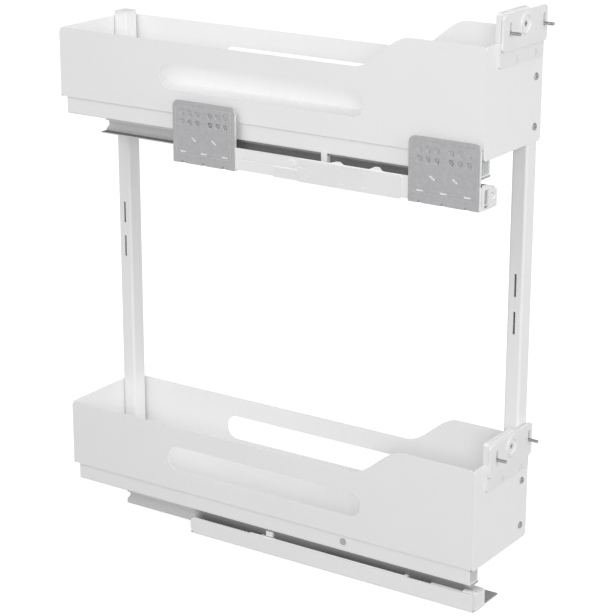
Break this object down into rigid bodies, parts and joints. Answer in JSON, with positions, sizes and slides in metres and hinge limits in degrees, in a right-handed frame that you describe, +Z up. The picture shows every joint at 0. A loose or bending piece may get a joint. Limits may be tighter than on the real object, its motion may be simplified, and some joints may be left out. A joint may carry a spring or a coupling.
{
  "type": "pull out cabinet basket",
  "caption": "Narrow two-tier pull-out basket for a base cabinet: white steel trays on posts, side-mounted runners with soft closing, and adjustable door brackets.",
  "frame": {"origin": "middle of the floor plate's row of fixing holes, on the cabinet floor", "axes": "+Z up, -Y towards the cabinet door, +X across the cabinet away from the wall that carries the runner"},
  "size_m": [0.1106, 0.4891, 0.5515],
  "materials": {
    "white_coat": "white powder coat",
    "white_plastic": "white moulded plastic",
    "grey_plastic": "grey moulded plastic",
    "zinc_steel": "zinc plated steel",
    "rail_steel": "light grey coated steel",
    "screw_steel": "plated screw steel"
  },
  "bodies": {
    "cabinet_side": {"floor_plate": "zinc_steel", "lower_channel": "white_coat", "lower_cabinet_rail": "zinc_steel", "lower_front_guide": "white_plastic", "lower_closer_housing": "white_plastic", "lower_damper": "zinc_steel", "lower_closing_spring": "zinc_steel", "front_wall_plate": "zinc_steel", "rear_wall_plate": "zinc_steel", "upper_channel": "white_coat", "upper_cabinet_rail": "zinc_steel", "soft_close_cover": "white_plastic", "upper_closer_housing": "white_plastic", "upper_damper": "zinc_steel", "upper_closing_spring": "zinc_steel", "rail_rivets": "zinc_steel"},
    "basket": {"upper_near_side": "white_coat", "upper_far_side": "white_coat", "upper_front_panel": "white_coat", "upper_rear_panel": "white_coat", "upper_floor": "white_coat", "lower_near_side": "white_coat", "lower_far_side": "white_coat", "lower_front_panel": "white_coat", "lower_rear_panel": "white_coat", "lower_floor": "white_coat", "upper_side_profile": "white_coat", "lower_side_profile": "white_coat", "profile_end_caps": "grey_plastic", "front_post": "white_coat", "rear_post": "white_coat", "post_caps": "white_plastic", "post_screws": "screw_steel", "upper_tray_rail": "rail_steel", "lower_tray_rail": "rail_steel", "tray_rail_screws": "screw_steel", "upper_channel_end_cap": "white_plastic", "lower_channel_end_cap": "white_plastic", "upper_driver": "white_plastic", "lower_driver": "white_plastic", "upper_bracket_base": "white_plastic", "lower_bracket_base": "white_plastic", "bracket_screws": "screw_steel"},
    "upper_middle": {"upper_middle_rail": "zinc_steel"},
    "lower_middle": {"lower_middle_rail": "zinc_steel"},
    "upper_outer_balls": {"upper_outer_cage": "zinc_steel"},
    "upper_inner_balls": {"upper_inner_cage": "zinc_steel"},
    "lower_outer_balls": {"lower_outer_cage": "zinc_steel"},
    "lower_inner_balls": {"lower_inner_cage": "zinc_steel"},
    "upper_catch": {"upper_catch": "white_plastic", "upper_damper_rod": "zinc_steel"},
    "lower_catch": {"lower_catch": "white_plastic", "lower_damper_rod": "zinc_steel"},
    "upper_carrier": {"upper_bracket_carrier": "white_plastic", "upper_door_screws": "screw_steel"},
    "lower_carrier": {"lower_bracket_carrier": "white_plastic", "lower_door_screws": "screw_steel"},
    "upper_clamp": {"upper_clamp_screw": "screw_steel"},
    "lower_clamp": {"lower_clamp_screw": "screw_steel"}
  },
  "joints": [
    {"name": "pull_out", "type": "slide", "parent": "cabinet_side", "child": "basket", "axis": [0, -1, 0], "range_m": [0, 0.44]},
    {"name": "upper_middle_slide", "type": "slide", "parent": "cabinet_side", "child": "upper_middle", "axis": [0, -1, 0], "range_m": [0, 0.22]},
    {"name": "upper_outer_cage_slide", "type": "slide", "parent": "cabinet_side", "child": "upper_outer_balls", "axis": [0, -1, 0], "range_m": [0, 0.11]},
    {"name": "upper_inner_cage_slide", "type": "slide", "parent": "cabinet_side", "child": "upper_inner_balls", "axis": [0, -1, 0], "range_m": [0, 0.33]},
    {"name": "lower_middle_slide", "type": "slide", "parent": "cabinet_side", "child": "lower_middle", "axis": [0, -1, 0], "range_m": [0, 0.22]},
    {"name": "lower_outer_cage_slide", "type": "slide", "parent": "cabinet_side", "child": "lower_outer_balls", "axis": [0, -1, 0], "range_m": [0, 0.11]},
    {"name": "lower_inner_cage_slide", "type": "slide", "parent": "cabinet_side", "child": "lower_inner_balls", "axis": [0, -1, 0], "range_m": [0, 0.33]},
    {"name": "upper_catch_slide", "type": "slide", "parent": "cabinet_side", "child": "upper_catch", "axis": [0, -1, 0], "range_m": [0, 0.038], "stiffness_N_per_m": 60, "deforming": ["upper_closing_spring"]},
    {"name": "lower_catch_slide", "type": "slide", "parent": "cabinet_side", "child": "lower_catch", "axis": [0, -1, 0], "range_m": [0, 0.038], "stiffness_N_per_m": 60, "deforming": ["lower_closing_spring"]},
    {"name": "upper_height", "type": "slide", "parent": "basket", "child": "upper_carrier", "axis": [0, 0, 1], "range_m": [-0.002, 0.002]},
    {"name": "upper_clamp_turn", "type": "hinge", "parent": "upper_carrier", "child": "upper_clamp", "pos_m": [0.028, -0.1638, 0.5375], "axis": [0, 1, 0], "range_deg": [-90, 90]},
    {"name": "lower_height", "type": "slide", "parent": "basket", "child": "lower_carrier", "axis": [0, 0, 1], "range_m": [-0.002, 0.002]},
    {"name": "lower_clamp_turn", "type": "hinge", "parent": "lower_carrier", "child": "lower_clamp", "pos_m": [0.028, -0.1638, 0.146], "axis": [0, 1, 0], "range_deg": [-90, 90]}
  ],
  "couplings": [
    {"joint": "upper_middle_slide", "follows": "pull_out", "ratio": 0.5},
    {"joint": "upper_outer_cage_slide", "follows": "pull_out", "ratio": 0.25},
    {"joint": "upper_inner_cage_slide", "follows": "pull_out", "ratio": 0.75},
    {"joint": "lower_middle_slide", "follows": "pull_out", "ratio": 0.5},
    {"joint": "lower_outer_cage_slide", "follows": "pull_out", "ratio": 0.25},
    {"joint": "lower_inner_cage_slide", "follows": "pull_out", "ratio": 0.75}
  ]
}
